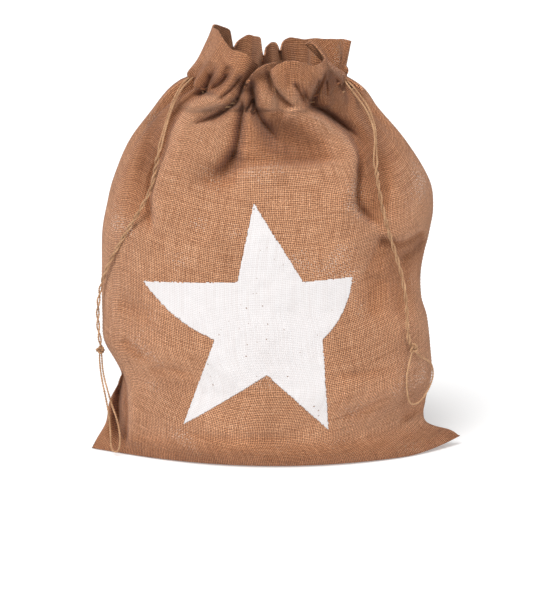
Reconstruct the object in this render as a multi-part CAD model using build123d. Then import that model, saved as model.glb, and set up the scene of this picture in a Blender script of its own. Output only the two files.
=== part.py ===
from build123d import *
import math
import os

# A jute drawstring gift sack, filled out and standing on its bottom seam. Millimetres.
# +Z is up, the star faces -Y, +X is to the right of the star, and the origin is at the
# middle of the footprint on the floor. The side seams and the bottom seam lie in the XZ plane.

# Driving dimensions
CLOTH = 1.5                # thickness of one layer of hessian
SEAM_ALLOWANCE = 12        # width of the turned-in edges along the side and bottom seams
HALF_BOTTOM = 293          # from the middle to the tip of each bottom corner
TWINE = 3.0                # thickness of the drawcord
THREAD = 1.0               # thickness of the sewing thread

# The drawcord channel round the neck
NECK_LOW = 586             # underside of the turned-in hem, where the neck wall gets thicker
CHANNEL_LOW = 591
CHANNEL_HIGH = 611
NECK_HIGH = 616            # above this the neck opens out as the frill
CHANNEL_GAP = 5.0          # clear width inside the channel
NECK_LEFT = -131
NECK_RIGHT = 104
NECK_DEPTH = 65
NECK_WALL = CLOTH + CHANNEL_GAP + CLOTH
EXIT_WIDTH = 26            # gap left open in each side seam, where the cord comes out
EXIT_HEIGHT = 14
LEFT_CORD_Z = 605
RIGHT_CORD_Z = 597

# Outline of the filled sack: height, left side, right side, half depth, pinch of the side edges.
# A pinch of 1 is an ellipse. A pinch near 2 draws the two panels together into a pointed corner.
LEVELS = [
    (0, -HALF_BOTTOM, HALF_BOTTOM, 94, 2.0),
    (36, -274, 262, 111, 1.6),
    (80, -263, 246, 117, 1.2),
    (128, -252, 248, 118, 1.0),
    (190, -273, 244, 118, 1.0),
    (250, -277, 236, 117, 1.0),
    (300, -276, 231, 116, 1.0),
    (355, -274, 239, 114, 1.0),
    (405, -264, 244, 110, 1.0),
    (455, -250, 231, 104, 1.0),
    (500, -227, 200, 96, 1.0),
    (545, -192, 160, 85, 1.0),
    (572, -160, 130, 74, 1.0),
    (588, NECK_LEFT, NECK_RIGHT, NECK_DEPTH, 1.0),
    (614, NECK_LEFT, NECK_RIGHT, NECK_DEPTH, 1.0),
    (630, -124, 109, 67, 1.0),
    (655, -116, 117, 73, 1.0),
    (692, -108, 122, 76, 1.0),
]
FORM_TOP = LEVELS[-1][0]
# Upper edge of the frill, in X and Z: it stands highest at the left
FRILL_EDGE = [(-140, 668), (-104, 683), (-74, 658), (-20, 644), (40, 650), (90, 658), (140, 660)]

# The star's five tips and five inner corners in turn, in X and Z, clockwise from the top tip.
# The third value is how far the edge that follows bows out of its straight line.
STAR_CORNERS = [
    (-35, 420, 0), (40, 300, 0), (115, 305, 10), (70, 210, 0), (80, 65, 0),
    (-15, 155, 0), (-145, 70, 0), (-95, 210, 10), (-205, 295, 0), (-60, 300, 0),
]
STAR_THICKNESS = 0.5

STITCH_PITCH = 10
STITCH_LENGTH = 7
SEAM_THREAD_CLEAR = 0.05   # air between the seam stitches and the cloth
NECK_THREAD_CLEAR = 0.15   # the same round the curved neck

SPACE = 900                # side of a block that holds the whole sack


def section(z, left, right, depth, pinch, inset):
    """A level outline of the sack, drawn inside the outer surface by inset."""
    middle = (left + right) / 2
    half_width = (right - left) / 2 - inset * pinch ** 2
    half_depth = depth - inset
    with BuildSketch(Plane.XY.offset(z)) as outline:
        with BuildLine():
            for side in (-1, 1):
                if pinch == 1:
                    EllipticalCenterArc((middle, 0), half_width, half_depth, start_angle=180, arc_size=-180 * side)
                else:
                    turns = [math.radians(180 - 30 * step) for step in range(7)]
                    Spline(*[(middle + half_width * math.cos(turn),
                              side * half_depth * max(math.sin(turn), 0.0) ** pinch) for turn in turns])
        make_face()
    return outline.sketch


def filled_form(inset):
    """The whole volume inside the cloth's outer surface, drawn in by inset."""
    return loft([section(*level, inset) for level in LEVELS], ruled=True)


def slab(low, high):
    """All of space between two heights."""
    return Pos(0, 0, (low + high) / 2) * Box(SPACE, SPACE, high - low)


def half_space(side):
    """Front half for side -1, back half for side 1."""
    return Pos(0, side * SPACE / 4, SPACE / 2 - SEAM_ALLOWANCE) * Box(SPACE, SPACE / 2, SPACE)


def above_frill():
    """Everything above the frill's uneven upper edge."""
    with BuildSketch(Plane.XZ) as region:
        with BuildLine():
            edge = Spline(*FRILL_EDGE)
            Polyline(edge @ 1, (SPACE / 4, SPACE), (-SPACE / 4, SPACE), edge @ 0)
        make_face()
    return extrude(region.sketch, amount=SPACE / 3, both=True)


def seam_band(form):
    """The turned-in seam allowances: a thin plate in the seam plane, open in the middle."""
    plate = form & Box(SPACE, 2 * CLOTH, 2 * NECK_LOW)
    with BuildSketch(Plane.XZ) as window:
        with BuildLine():
            left = [(x1 + SEAM_ALLOWANCE, z) for z, x1, x2, depth, pinch in LEVELS if 0 < z < NECK_LOW]
            right = [(x2 - SEAM_ALLOWANCE, z) for z, x1, x2, depth, pinch in LEVELS if 0 < z < NECK_LOW]
            low_left = (-HALF_BOTTOM + 4 * SEAM_ALLOWANCE, SEAM_ALLOWANCE)
            low_right = (HALF_BOTTOM - 4 * SEAM_ALLOWANCE, SEAM_ALLOWANCE)
            Polyline(low_left, *left, (0, NECK_LOW + 20), *right[::-1], low_right, low_left)
        make_face()
    return plate - extrude(window.sketch, amount=SEAM_ALLOWANCE, both=True)


def sack_shell():
    """Both panels in one: base, flanks, the double-walled neck with its channel, and the frill."""
    outer = filled_form(0)
    thin = filled_form(CLOTH)
    hem = filled_form(2 * CLOTH)
    band = filled_form(NECK_WALL)
    channel_outer = filled_form(CLOTH)
    channel_inner = filled_form(CLOTH + CHANNEL_GAP)
    hollow = (thin & slab(CLOTH, NECK_LOW)) + (band & slab(NECK_LOW, NECK_HIGH))
    hollow += hem & slab(NECK_HIGH, FORM_TOP + 10)
    channel = (channel_outer - channel_inner) & slab(CHANNEL_LOW, CHANNEL_HIGH)
    shell = outer - hollow - channel + seam_band(outer)
    for x in (NECK_LEFT, NECK_RIGHT):
        shell -= Pos(x, 0, (CHANNEL_LOW + CHANNEL_HIGH) / 2) * Box(5 * CLOTH, EXIT_WIDTH, EXIT_HEIGHT)
    return shell - above_frill()


def star_print():
    """The white star: a thin coat that follows the front panel."""
    with BuildSketch(Plane.XZ) as outline:
        with BuildLine():
            for (x1, z1, bow), (x2, z2, _) in zip(STAR_CORNERS, STAR_CORNERS[1:] + STAR_CORNERS[:1]):
                if bow:
                    length = math.hypot(x2 - x1, z2 - z1)
                    middle_x = (x1 + x2) / 2 - bow * (z2 - z1) / length
                    middle_z = (z1 + z2) / 2 + bow * (x2 - x1) / length
                    ThreePointArc((x1, z1), (middle_x, middle_z), (x2, z2))
                else:
                    Line((x1, z1), (x2, z2))
        make_face()
    prism = extrude(outline.sketch, amount=SPACE / 4)
    return (filled_form(-STAR_THICKNESS) - filled_form(0)) & prism


def stitches_between(places):
    """One short round stitch at each (point, direction)."""
    made = []
    for point, direction in places:
        made.append(Plane(origin=point, z_dir=direction) * Cylinder(THREAD / 2, STITCH_LENGTH))
    return Compound(children=made)


def side_seam_thread(column):
    """Stitches down one side seam, on the front of its allowances. Column 1 is left, 2 is right."""
    inward = SEAM_ALLOWANCE / 2 if column == 1 else -SEAM_ALLOWANCE / 2
    line = Polyline(*[(level[column] + inward, 0, level[0]) for level in LEVELS if 30 < level[0] < NECK_LOW])
    y = -CLOTH - THREAD / 2 - SEAM_THREAD_CLEAR
    places = []
    for number in range(int(line.length / STITCH_PITCH)):
        share = (number + 0.5) * STITCH_PITCH / line.length
        point = line @ share
        places.append((Vector(point.X, y, point.Z), line % share))
    return stitches_between(places)


def bottom_seam_thread():
    """Stitches along the bottom seam, on the front of its allowances."""
    y = -CLOTH - THREAD / 2 - SEAM_THREAD_CLEAR
    z = SEAM_ALLOWANCE / 2
    half = HALF_BOTTOM - 5 * SEAM_ALLOWANCE
    count = int(2 * half / STITCH_PITCH)
    places = [(Vector(-half + (n + 0.5) * STITCH_PITCH, y, z), Vector(1, 0, 0)) for n in range(count)]
    return stitches_between(places)


def neck_point(turn, inset, z):
    """A point on the neck's ellipse, drawn in by inset."""
    middle = (NECK_LEFT + NECK_RIGHT) / 2
    half_width = (NECK_RIGHT - NECK_LEFT) / 2 - inset
    return Vector(middle + half_width * math.cos(turn), (NECK_DEPTH - inset) * math.sin(turn), z)


# Routes of the drawcords outside the channel. Each side has two strands that run from the
# exit in the side seam down the flank to a knot, and the cord's bight as a loop below it.
LEFT_REAR = [
    (-130, -4, 601), (-139, -7, 597), (-150, -17, 583), (-161, -40, 560), (-172, -60, 524),
    (-184, -71, 483), (-191, -78, 441), (-211, -77, 404), (-235, -67, 366), (-260, -50, 323),
    (-277, -31, 282), (-284, -23, 241), (-284, -22, 207), (-281, -22, 184), (-280, -22, 172),
]
LEFT_FRONT = [
    (-130, -9, 599), (-137, -14, 593), (-149, -28, 580), (-160, -51, 556), (-171, -68, 519),
    (-180, -75, 477), (-187, -82, 438), (-207, -81, 402), (-231, -71, 364), (-256, -55, 322),
    (-273, -36, 280), (-280, -28, 241), (-280, -27, 207), (-277, -27, 184), (-277, -26, 172),
]
LEFT_LOOP = [
    (-281, -23, 162), (-281, -22, 150), (-279, -20, 125), (-273, -24, 97), (-267, -30, 66),
    (-265, -33, 38), (-265, -35, 17), (-262, -37, 8), (-254, -39, 7), (-250, -40, 17),
    (-249, -40, 38), (-254, -37, 62), (-262, -31, 82), (-268, -27, 103), (-275, -23, 128),
    (-277, -25, 150), (-277, -25, 162),
]
RIGHT_REAR = [
    (103, -4, 599), (111, -8, 592), (125, -20, 577), (141, -36, 555), (151, -54, 524),
    (150, -72, 486), (154, -82, 450), (161, -88, 412), (172, -85, 371), (185, -78, 333),
    (197, -70, 293), (203, -69, 252), (204, -72, 222), (206, -72, 203), (209, -70, 191),
]
RIGHT_FRONT = [
    (103, -10, 597), (109, -15, 589), (121, -32, 574), (138, -48, 552), (150, -64, 518),
    (146, -76, 481), (150, -86, 448), (157, -92, 410), (168, -89, 370), (181, -82, 332),
    (193, -74, 292), (199, -73, 252), (200, -76, 222), (202, -76, 203), (205, -74, 191),
]
RIGHT_LOOP = [
    (209, -72, 175), (206, -73, 162), (202, -75, 142), (203, -75, 121), (206, -69, 103),
    (212, -61, 92), (222, -53, 91), (233, -44, 99), (243, -33, 113), (249, -28, 130),
    (247, -31, 147), (240, -41, 158), (229, -56, 166), (219, -66, 175),
]
KNOT_HEIGHT = 11
LEFT_KNOT = (-279, -24, 172)
LEFT_KNOT_WIDTH = 13
RIGHT_KNOT = (213, -71, 186)
RIGHT_KNOT_WIDTH = 16
CHANNEL_RUN_POINTS = 24


def corner_radii(points):
    """The largest tangent arc at each corner that leaves the runs beside it a straight middle."""
    radii = []
    for before, here, after in zip(points, points[1:], points[2:]):
        run_in = Vector(*here) - Vector(*before)
        run_out = Vector(*after) - Vector(*here)
        half_turn = math.radians(run_in.get_angle(run_out)) / 2
        radii.append(0.45 * min(run_in.length, run_out.length) / math.tan(half_turn))
    return radii


def cord_tube(name, points):
    """A round length of twine along straight runs joined by tangent arcs."""
    radii = corner_radii(points)
    path = FilletPolyline(*points, radius=radii)
    disc = Plane(origin=path @ 0, z_dir=path % 0) * Circle(TWINE / 2)
    tube = sweep(disc, path=path)
    expected = math.pi * TWINE ** 2 / 4 * path.length
    print(name, "length", round(path.length), "smallest radius", round(min(radii), 1),
          "volume ratio", round(tube.volume / expected, 4), "radii", [round(r) for r in radii])
    return tube


def channel_run(name, z, exit_side):
    """The drawcord inside the channel, right round the neck and back to its own exit."""
    first = math.pi if exit_side < 0 else 0
    gap = math.radians(9)
    step = (2 * math.pi - 2 * gap) / (CHANNEL_RUN_POINTS - 1)
    inset = CLOTH + CHANNEL_GAP / 2
    turns = [first + gap + step * number for number in range(CHANNEL_RUN_POINTS)]
    return cord_tube(name, [tuple(neck_point(turn, inset, z)) for turn in turns])


def channel_thread(z):
    """A row of stitches round the neck, laid on its outer face."""
    places = []
    count = int(2 * math.pi * math.hypot((NECK_RIGHT - NECK_LEFT) / 2, NECK_DEPTH) / math.sqrt(2) / STITCH_PITCH)
    for number in range(count):
        turn = 2 * math.pi * (number + 0.5) / count
        along = neck_point(turn + 0.01, 0, z) - neck_point(turn - 0.01, 0, z)
        places.append((neck_point(turn, -THREAD / 2 - NECK_THREAD_CLEAR, z), along))
    return stitches_between(places)


def knot(centre, width):
    """An overhand knot, as a plain rounded barrel."""
    x, y, z = centre
    return Pos(x, y, z) * fillet(Box(width, KNOT_HEIGHT, KNOT_HEIGHT + 1).edges(), KNOT_HEIGHT * 0.4)


shell = sack_shell()
parts = {
    "front_panel": shell & half_space(-1),
    "back_panel": shell & half_space(1),
    "star_print": star_print(),
    "left_side_seam_thread": side_seam_thread(1),
    "right_side_seam_thread": side_seam_thread(2),
    "bottom_seam_thread": bottom_seam_thread(),
    "channel_thread_lower": channel_thread(CHANNEL_LOW - THREAD),
    "channel_thread_upper": channel_thread(CHANNEL_HIGH + THREAD),
    "left_cord_in_channel": channel_run("left_cord_in_channel", LEFT_CORD_Z, -1),
    "right_cord_in_channel": channel_run("right_cord_in_channel", RIGHT_CORD_Z, 1),
    "left_knot": knot(LEFT_KNOT, LEFT_KNOT_WIDTH),
    "right_knot": knot(RIGHT_KNOT, RIGHT_KNOT_WIDTH),
}
for name, points in {
    "left_strand_rear": LEFT_REAR,
    "left_strand_front": LEFT_FRONT,
    "left_loop": LEFT_LOOP,
    "right_strand_rear": RIGHT_REAR,
    "right_strand_front": RIGHT_FRONT,
    "right_loop": RIGHT_LOOP,
}.items():
    parts[name] = cord_tube(name, points)

os.makedirs("parts", exist_ok=True)
for name, solid in parts.items():
    export_step(solid, f"parts/{name}.step")
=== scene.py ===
import math

import bpy
import numpy as np
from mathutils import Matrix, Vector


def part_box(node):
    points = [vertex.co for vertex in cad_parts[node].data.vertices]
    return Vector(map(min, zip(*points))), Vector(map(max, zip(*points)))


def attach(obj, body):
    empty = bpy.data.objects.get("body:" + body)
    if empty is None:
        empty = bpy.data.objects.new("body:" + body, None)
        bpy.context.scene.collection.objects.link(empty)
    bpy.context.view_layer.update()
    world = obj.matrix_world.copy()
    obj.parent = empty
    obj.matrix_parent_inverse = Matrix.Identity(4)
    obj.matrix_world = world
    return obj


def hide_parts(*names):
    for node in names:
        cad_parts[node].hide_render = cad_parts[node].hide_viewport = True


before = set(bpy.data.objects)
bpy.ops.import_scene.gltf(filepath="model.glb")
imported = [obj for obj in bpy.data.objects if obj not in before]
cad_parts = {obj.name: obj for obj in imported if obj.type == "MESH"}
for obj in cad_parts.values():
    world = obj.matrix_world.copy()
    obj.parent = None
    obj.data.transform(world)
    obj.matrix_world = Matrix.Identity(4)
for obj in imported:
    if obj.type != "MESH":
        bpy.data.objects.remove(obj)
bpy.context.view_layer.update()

# -------- the sack's own sizes, in metres
CLOTH = 0.0013                    # thickness of one layer of hessian
TWINE = 0.003                     # thickness of the drawcord
FLAT_WIDTH = 0.60                 # each panel laid flat, seam to seam
THREAD_PITCH = 0.0028             # from one thread of the hessian to the next
HEM = 0.10                        # turned in at the top for the frill and the channel
NECK_LOW, NECK_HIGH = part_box("left_cord_in_channel")
NECK_MIDDLE = (NECK_LOW.x + NECK_HIGH.x) / 2
NECK_HALF_WIDTH = (NECK_HIGH.x - NECK_LOW.x) / 2 + 0.003
NECK_HALF_DEPTH = (NECK_HIGH.y - NECK_LOW.y) / 2 + 0.003
COLUMNS = 600                     # points round the sack, half of them on each panel
HALF = COLUMNS // 2
CHANNEL_Z = 0.590                 # mean height of the cord channel
CHANNEL_HALF = 0.012              # from the middle of the channel to either row of stitches
FLOOR_GAP = 0.0016                # the cloth's outer face is never lower than this
FOOT = 0.09                       # on the flat cloth, the part that lies under the sack
# How much painted shade darkens the cloth's colour in creases, across the frill, and near the floor
CREASE_SHADE, FRILL_SHADE, FOOT_SHADE = 0.42, 0.21, 0.32


# -------- camera
def make_camera():
    """A long lens a little above the sack, looking straight at the star side."""
    elevation = math.radians(12.5)
    distance = 2.6
    aim = (-0.0159, 0.0, 0.2415)
    data = bpy.data.cameras.new("camera")
    data.lens = 97
    data.sensor_width = 36
    camera = bpy.data.objects.new("camera", data)
    bpy.context.scene.collection.objects.link(camera)
    behind, above = distance * math.cos(elevation), distance * math.sin(elevation)
    camera.location = (aim[0], aim[1] - behind, aim[2] + above)
    camera.rotation_euler = (math.pi / 2 - elevation, 0, 0)
    bpy.context.scene.camera = camera


# -------- curve helpers
def smooth_through(points, values, wanted, closed=False):
    """Catmull-Rom curve through points, given at rising values, read at the wanted values."""
    points = np.asarray(points, float)
    values = np.asarray(values, float)
    if closed:
        period = values[-1] - values[0]
        points = np.vstack([points[-3:-1], points, points[1:3]])
        values = np.concatenate([values[-3:-1] - period, values, values[1:3] + period])
    slopes = np.empty_like(points)
    slopes[1:-1] = (points[2:] - points[:-2]) / (values[2:] - values[:-2])[:, None]
    slopes[0] = (points[1] - points[0]) / (values[1] - values[0])
    slopes[-1] = (points[-1] - points[-2]) / (values[-1] - values[-2])
    at = np.clip(np.searchsorted(values, wanted, side="right") - 1, 0, len(values) - 2)
    span = (values[at + 1] - values[at])[:, None]
    t = ((wanted - values[at])[:, None]) / span
    h00 = 2 * t ** 3 - 3 * t ** 2 + 1
    h10 = t ** 3 - 2 * t ** 2 + t
    h01 = -2 * t ** 3 + 3 * t ** 2
    h11 = t ** 3 - t ** 2
    return h00 * points[at] + h10 * span * slopes[at] + h01 * points[at + 1] + h11 * span * slopes[at + 1]


def distances(points):
    """How far along a polyline each of its points is."""
    steps = np.linalg.norm(np.diff(np.asarray(points, float), axis=0), axis=1)
    return np.concatenate([[0], np.cumsum(steps)])


def arc_values(points):
    """The same, from 0 to 1."""
    along = distances(points)
    return along / along[-1]


def line_length(points):
    return np.linalg.norm(np.diff(points, axis=0), axis=1).sum()


def read_at(points, values, wanted):
    """Points in between, on the straight runs of a polyline whose points are given at rising values."""
    return np.column_stack([np.interp(wanted, values, points[:, k]) for k in range(points.shape[1])])


def smooth_step(x):
    """Eases from 0 to 1 as x goes from 0 to 1."""
    x = np.clip(x, 0, 1)
    return x * x * (3 - 2 * x)


def lattice_noise(x, y, seed):
    """Smooth value noise in two directions, from -1 to 1, with a period of 64 cells."""
    table = np.random.default_rng(seed).uniform(-1, 1, (64, 64))
    xi, yi = np.floor(x).astype(int), np.floor(y).astype(int)
    fx, fy = smooth_step(x - xi), smooth_step(y - yi)
    a, b = table[xi % 64, yi % 64], table[(xi + 1) % 64, yi % 64]
    c, d = table[xi % 64, (yi + 1) % 64], table[(xi + 1) % 64, (yi + 1) % 64]
    return (a * (1 - fx) + b * fx) * (1 - fy) + (c * (1 - fx) + d * fx) * fy


# -------- the sack's outline at each height
# height, left, right, half depth, pinch of the side edges (1 is an ellipse, 2 is a sharp corner)
LEVELS = [
    (0.000, -0.293, 0.290, 0.095, 2.0),
    (0.020, -0.285, 0.275, 0.107, 1.8),
    (0.045, -0.274, 0.240, 0.113, 1.5),
    (0.080, -0.269, 0.240, 0.116, 1.3),
    (0.128, -0.249, 0.249, 0.118, 1.0),
    (0.185, -0.275, 0.244, 0.118, 1.0),
    (0.225, -0.277, 0.238, 0.118, 1.0),
    (0.255, -0.277, 0.229, 0.117, 1.0),
    (0.300, -0.276, 0.228, 0.116, 1.0),
    (0.360, -0.274, 0.240, 0.114, 1.0),
    (0.400, -0.266, 0.245, 0.111, 1.0),
    (0.440, -0.255, 0.238, 0.106, 1.0),
    (0.500, -0.227, 0.200, 0.095, 1.0),
    (0.550, -0.185, 0.155, 0.080, 1.0),
]
# Upper edge of the frill, once round from the left tip by the front: x, y, z
FRILL_EDGE = [
    (-0.099, 0.000, 0.676), (-0.090, -0.027, 0.672), (-0.080, -0.044, 0.658), (-0.068, -0.054, 0.645),
    (-0.057, -0.064, 0.643), (-0.046, -0.072, 0.639), (-0.035, -0.066, 0.629), (-0.028, -0.052, 0.620),
    (-0.033, -0.056, 0.612), (-0.043, -0.080, 0.604), (-0.028, -0.088, 0.618), (-0.014, -0.082, 0.625),
    (0.000, -0.066, 0.625), (-0.002, -0.070, 0.619), (-0.012, -0.086, 0.616), (-0.001, -0.096, 0.624),
    (0.015, -0.097, 0.630), (0.031, -0.092, 0.629), (0.044, -0.086, 0.625), (0.058, -0.077, 0.622),
    (0.069, -0.063, 0.627), (0.072, -0.048, 0.633), (0.064, -0.028, 0.641), (0.054, -0.012, 0.652),
    (0.044, -0.004, 0.651), (0.056, 0.010, 0.656), (0.080, 0.012, 0.655), (0.100, 0.008, 0.657),
    (0.114, 0.000, 0.654), (0.108, 0.030, 0.654), (0.083, 0.052, 0.654), (0.060, 0.066, 0.654),
    (0.043, 0.073, 0.652), (0.021, 0.076, 0.655), (0.010, 0.070, 0.650), (0.005, 0.052, 0.636),
    (-0.001, 0.064, 0.648), (-0.010, 0.072, 0.647), (-0.019, 0.062, 0.638), (-0.021, 0.044, 0.630),
    (-0.024, 0.062, 0.655), (-0.034, 0.075, 0.657), (-0.046, 0.076, 0.659), (-0.059, 0.069, 0.652),
    (-0.067, 0.050, 0.641), (-0.074, 0.046, 0.668), (-0.085, 0.032, 0.675), (-0.096, 0.014, 0.679),
]
SEAM_AT = 28                      # the frill's point at the right side seam


def outline(level):
    """COLUMNS points round the sack at one level, evenly spaced along the cloth of each panel."""
    z, left, right, depth, pinch = level
    middle, half_width = (left + right) / 2, (right - left) / 2
    turns = np.linspace(math.pi, 0, 721)
    x = middle + half_width * np.cos(turns)
    y = -depth * np.clip(np.sin(turns), 0, 1) ** pinch
    arc = np.column_stack([x, y])
    along = arc_values(arc)
    even = np.linspace(0, 1, HALF + 1)[:-1]
    front = read_at(arc, along, even)
    back = read_at(arc, along, 1 - even) * (1, -1)
    ring = np.vstack([front, back])
    return np.column_stack([ring, np.full(COLUMNS, z)])


def frill_rings():
    """The rings of cloth from the gathered channel up to the frill's edge."""
    edge = np.array(FRILL_EDGE + FRILL_EDGE[:1])
    front = arc_values(edge[:SEAM_AT + 1]) / 2
    back = 0.5 + arc_values(edge[SEAM_AT:]) / 2
    values = np.concatenate([front, back[1:]])
    columns = np.arange(COLUMNS) / COLUMNS
    top = smooth_through(edge, values, columns, closed=True)
    turn = np.arctan2(edge[:, 1] / NECK_HALF_DEPTH, (edge[:, 0] - NECK_MIDDLE) / NECK_HALF_WIDTH)
    turn = np.unwrap(turn)
    turn[-1] = turn[0] + 2 * math.pi
    turn = np.maximum.accumulate(turn + np.arange(len(turn)) * 1e-6)
    reach = np.hypot((edge[:, 0] - NECK_MIDDLE) / NECK_HALF_WIDTH, edge[:, 1] / NECK_HALF_DEPTH)
    around = np.interp(columns, values, 0.65 * turn + 0.35 * (turn[0] + 2 * math.pi * values))
    pull = np.interp(columns, values, np.clip(reach, 0.6, 1.2))
    pleat = np.sin(2 * math.pi * columns * 26) + 0.6 * np.sin(2 * math.pi * columns * 17 + 1.3)
    front_share = np.clip(-np.sin(around), 0, 1)
    size = 1.0 + 0.10 * (pull - 1) + 0.045 * pleat * (1 - front_share) + 0.26 * front_share
    gather = np.column_stack([
        NECK_MIDDLE + NECK_HALF_WIDTH * size * np.cos(around),
        NECK_HALF_DEPTH * size * np.sin(around),
        CHANNEL_Z + 0.012 * np.cos(2 * around) + 0.012 * np.sin(around),
    ])
    return top, gather, around


def cloth_rows():
    """Every ring of the sack from the bottom seam to the frill's edge, and its height on the flat cloth."""
    top, gather, around = frill_rings()
    key_rings = []
    floor_ring = outline(LEVELS[0])
    for share in (0.02, 0.35, 0.7, 0.9):
        ring = floor_ring.copy()
        ring[:, 1] *= share
        ring[:, 2] = FLOOR_GAP
        key_rings.append(ring)
    for level in LEVELS:
        ring = outline(level)
        ring[:, 2] = max(level[0], FLOOR_GAP)
        key_rings.append(ring)
    swell = np.column_stack([np.cos(around), np.sin(around), np.zeros(COLUMNS)])
    below = 0.45 * key_rings[-1] + 0.55 * gather + (0.006 + 0.004 * np.sin(around))[:, None] * swell
    below[:, 2] = 0.45 * LEVELS[-1][0] + 0.55 * (gather[:, 2] - 0.006)
    key_rings.append(below)
    half_up = np.array([0, 0, CHANNEL_HALF / 2])
    key_rings += [gather - half_up, gather + half_up]
    for share in (0.35, 0.7):
        key_rings.append(gather * (1 - share) + top * share)
    key_rings.append(top)
    key_rings = np.array(key_rings)
    steps = np.linalg.norm(np.diff(key_rings, axis=0), axis=2)
    front_middle = steps[:, HALF // 4:3 * HALF // 4].mean(axis=1)
    flat = np.concatenate([[0], np.cumsum(front_middle)])
    neck = flat[-5]
    wanted = np.union1d(np.linspace(0, flat[-1], 260), np.linspace(neck - 0.11, neck + 0.06, 110))
    wanted = wanted[np.concatenate([[True], np.diff(wanted) > 0.0006])]
    count = len(wanted)
    stacked = key_rings.reshape(len(key_rings), -1)
    rows = smooth_through(stacked, flat, wanted).reshape(count, COLUMNS, 3)
    return rows, wanted, (flat[-6] + flat[-5]) / 2


# -------- folds pressed into the front
# Each step is a fold's edge seen from the front, a smooth curve through a few points in x and z, with
# its height, its width and its reach. The cloth on its left hand stands proud.
STEPS = [
    ([(-0.075, 0.580), (-0.120, 0.570), (-0.155, 0.535), (-0.170, 0.490), (-0.190, 0.440), (-0.185, 0.360)],
     0.014, 0.0055, 0.045),
    ([(0.165, 0.370), (0.120, 0.410), (0.120, 0.455), (0.120, 0.495), (0.080, 0.540), (0.030, 0.565)],
     0.015, 0.0050, 0.045),
    ([(0.150, 0.370), (0.190, 0.355), (0.230, 0.370)], 0.009, 0.0070, 0.035),
    ([(0.110, 0.480), (0.035, 0.475), (-0.055, 0.470), (-0.085, 0.450)], 0.006, 0.0080, 0.026),
    ([(-0.015, 0.625), (-0.005, 0.595), (0.010, 0.575), (0.030, 0.560)], 0.009, 0.0035, 0.022),
    ([(0.050, 0.555), (0.060, 0.585), (0.075, 0.620)], 0.009, 0.0030, 0.018),
    ([(-0.250, 0.150), (-0.235, 0.100), (-0.240, 0.005)], 0.010, 0.0035, 0.022),
    ([(0.285, 0.050), (0.235, 0.060), (0.190, 0.055)], 0.005, 0.0080, 0.022),
]
# Each crease or ridge: its curve, its height (negative sinks in) and its width
CREASES = [
    ([(-0.100, 0.630), (-0.100, 0.600), (-0.110, 0.580), (-0.130, 0.565)], -0.020, 0.0080),
    ([(-0.070, 0.625), (-0.080, 0.600), (-0.110, 0.575)], -0.019, 0.0070),
    ([(-0.050, 0.610), (-0.070, 0.585), (-0.095, 0.565)], -0.014, 0.0060),
    ([(-0.040, 0.605), (-0.060, 0.570), (-0.085, 0.550), (-0.140, 0.530)], -0.024, 0.0085),
    ([(-0.040, 0.610), (-0.035, 0.570), (-0.025, 0.540), (0.010, 0.500)], -0.030, 0.0085),
    ([(-0.050, 0.580), (-0.055, 0.535), (-0.065, 0.490), (-0.090, 0.465)], -0.026, 0.0095),
    ([(-0.035, 0.575), (-0.050, 0.545)], -0.014, 0.0045),
    ([(-0.035, 0.570), (-0.035, 0.540)], -0.010, 0.0040),
    ([(0.025, 0.600), (0.045, 0.560)], -0.014, 0.0045),
    ([(0.035, 0.600), (0.050, 0.565), (0.085, 0.540), (0.125, 0.510), (0.135, 0.485)], -0.024, 0.0085),
    ([(0.065, 0.605), (0.055, 0.575), (0.050, 0.555)], -0.017, 0.0055),
    ([(0.075, 0.600), (0.075, 0.570)], -0.012, 0.0050),
    ([(0.090, 0.600), (0.110, 0.560)], -0.010, 0.0070),
    ([(-0.030, 0.605), (0.000, 0.560), (0.050, 0.540)], 0.010, 0.0130),
    ([(-0.025, 0.545), (0.015, 0.505), (0.095, 0.505)], -0.0075, 0.0180),
    ([(-0.020, 0.530), (0.050, 0.495), (0.100, 0.490)], -0.0075, 0.0260),
    ([(-0.060, 0.500), (-0.075, 0.470), (-0.130, 0.440)], -0.0078, 0.0170),
    ([(-0.060, 0.500), (-0.070, 0.475), (-0.100, 0.455)], -0.0078, 0.0100),
    ([(-0.245, 0.140), (-0.255, 0.080), (-0.255, 0.005)], -0.036, 0.0110),
    ([(0.185, 0.320), (0.220, 0.340), (0.240, 0.355)], -0.0075, 0.0090),
    ([(0.155, 0.310), (0.145, 0.220)], -0.006, 0.0180),
    ([(0.190, 0.335), (0.195, 0.210)], -0.006, 0.0200),
    ([(-0.205, 0.145), (-0.170, 0.155), (-0.120, 0.150)], -0.0034, 0.0090),
    ([(0.085, 0.155), (0.120, 0.150), (0.180, 0.160)], -0.0034, 0.0090),
    ([(-0.180, 0.060), (-0.060, 0.050), (0.060, 0.060)], -0.0026, 0.0080),
    ([(0.090, 0.085), (0.130, 0.090), (0.190, 0.115)], -0.0036, 0.0080),
    ([(-0.245, 0.200), (-0.220, 0.180), (-0.190, 0.170)], -0.0060, 0.0120),
    ([(-0.250, 0.260), (-0.215, 0.245), (-0.180, 0.240)], -0.0040, 0.0160),
    ([(-0.200, 0.560), (-0.190, 0.520), (-0.215, 0.410)], -0.0060, 0.0140),
    ([(0.150, 0.500), (0.160, 0.450), (0.175, 0.350)], -0.0060, 0.0160),
]
# Broad swells and hollows: x, z, reach across, reach up, height
SWELLS = [
    (0.020, 0.520, 0.060, 0.030, -0.012),
    (-0.120, 0.500, 0.040, 0.050, 0.006),
    (-0.078, 0.458, 0.030, 0.022, -0.008),
    (-0.150, 0.380, 0.050, 0.060, 0.004),
    (0.040, 0.430, 0.100, 0.035, 0.007),
    (-0.230, 0.420, 0.040, 0.080, 0.006),
    (0.190, 0.430, 0.040, 0.050, 0.008),
]


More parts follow.
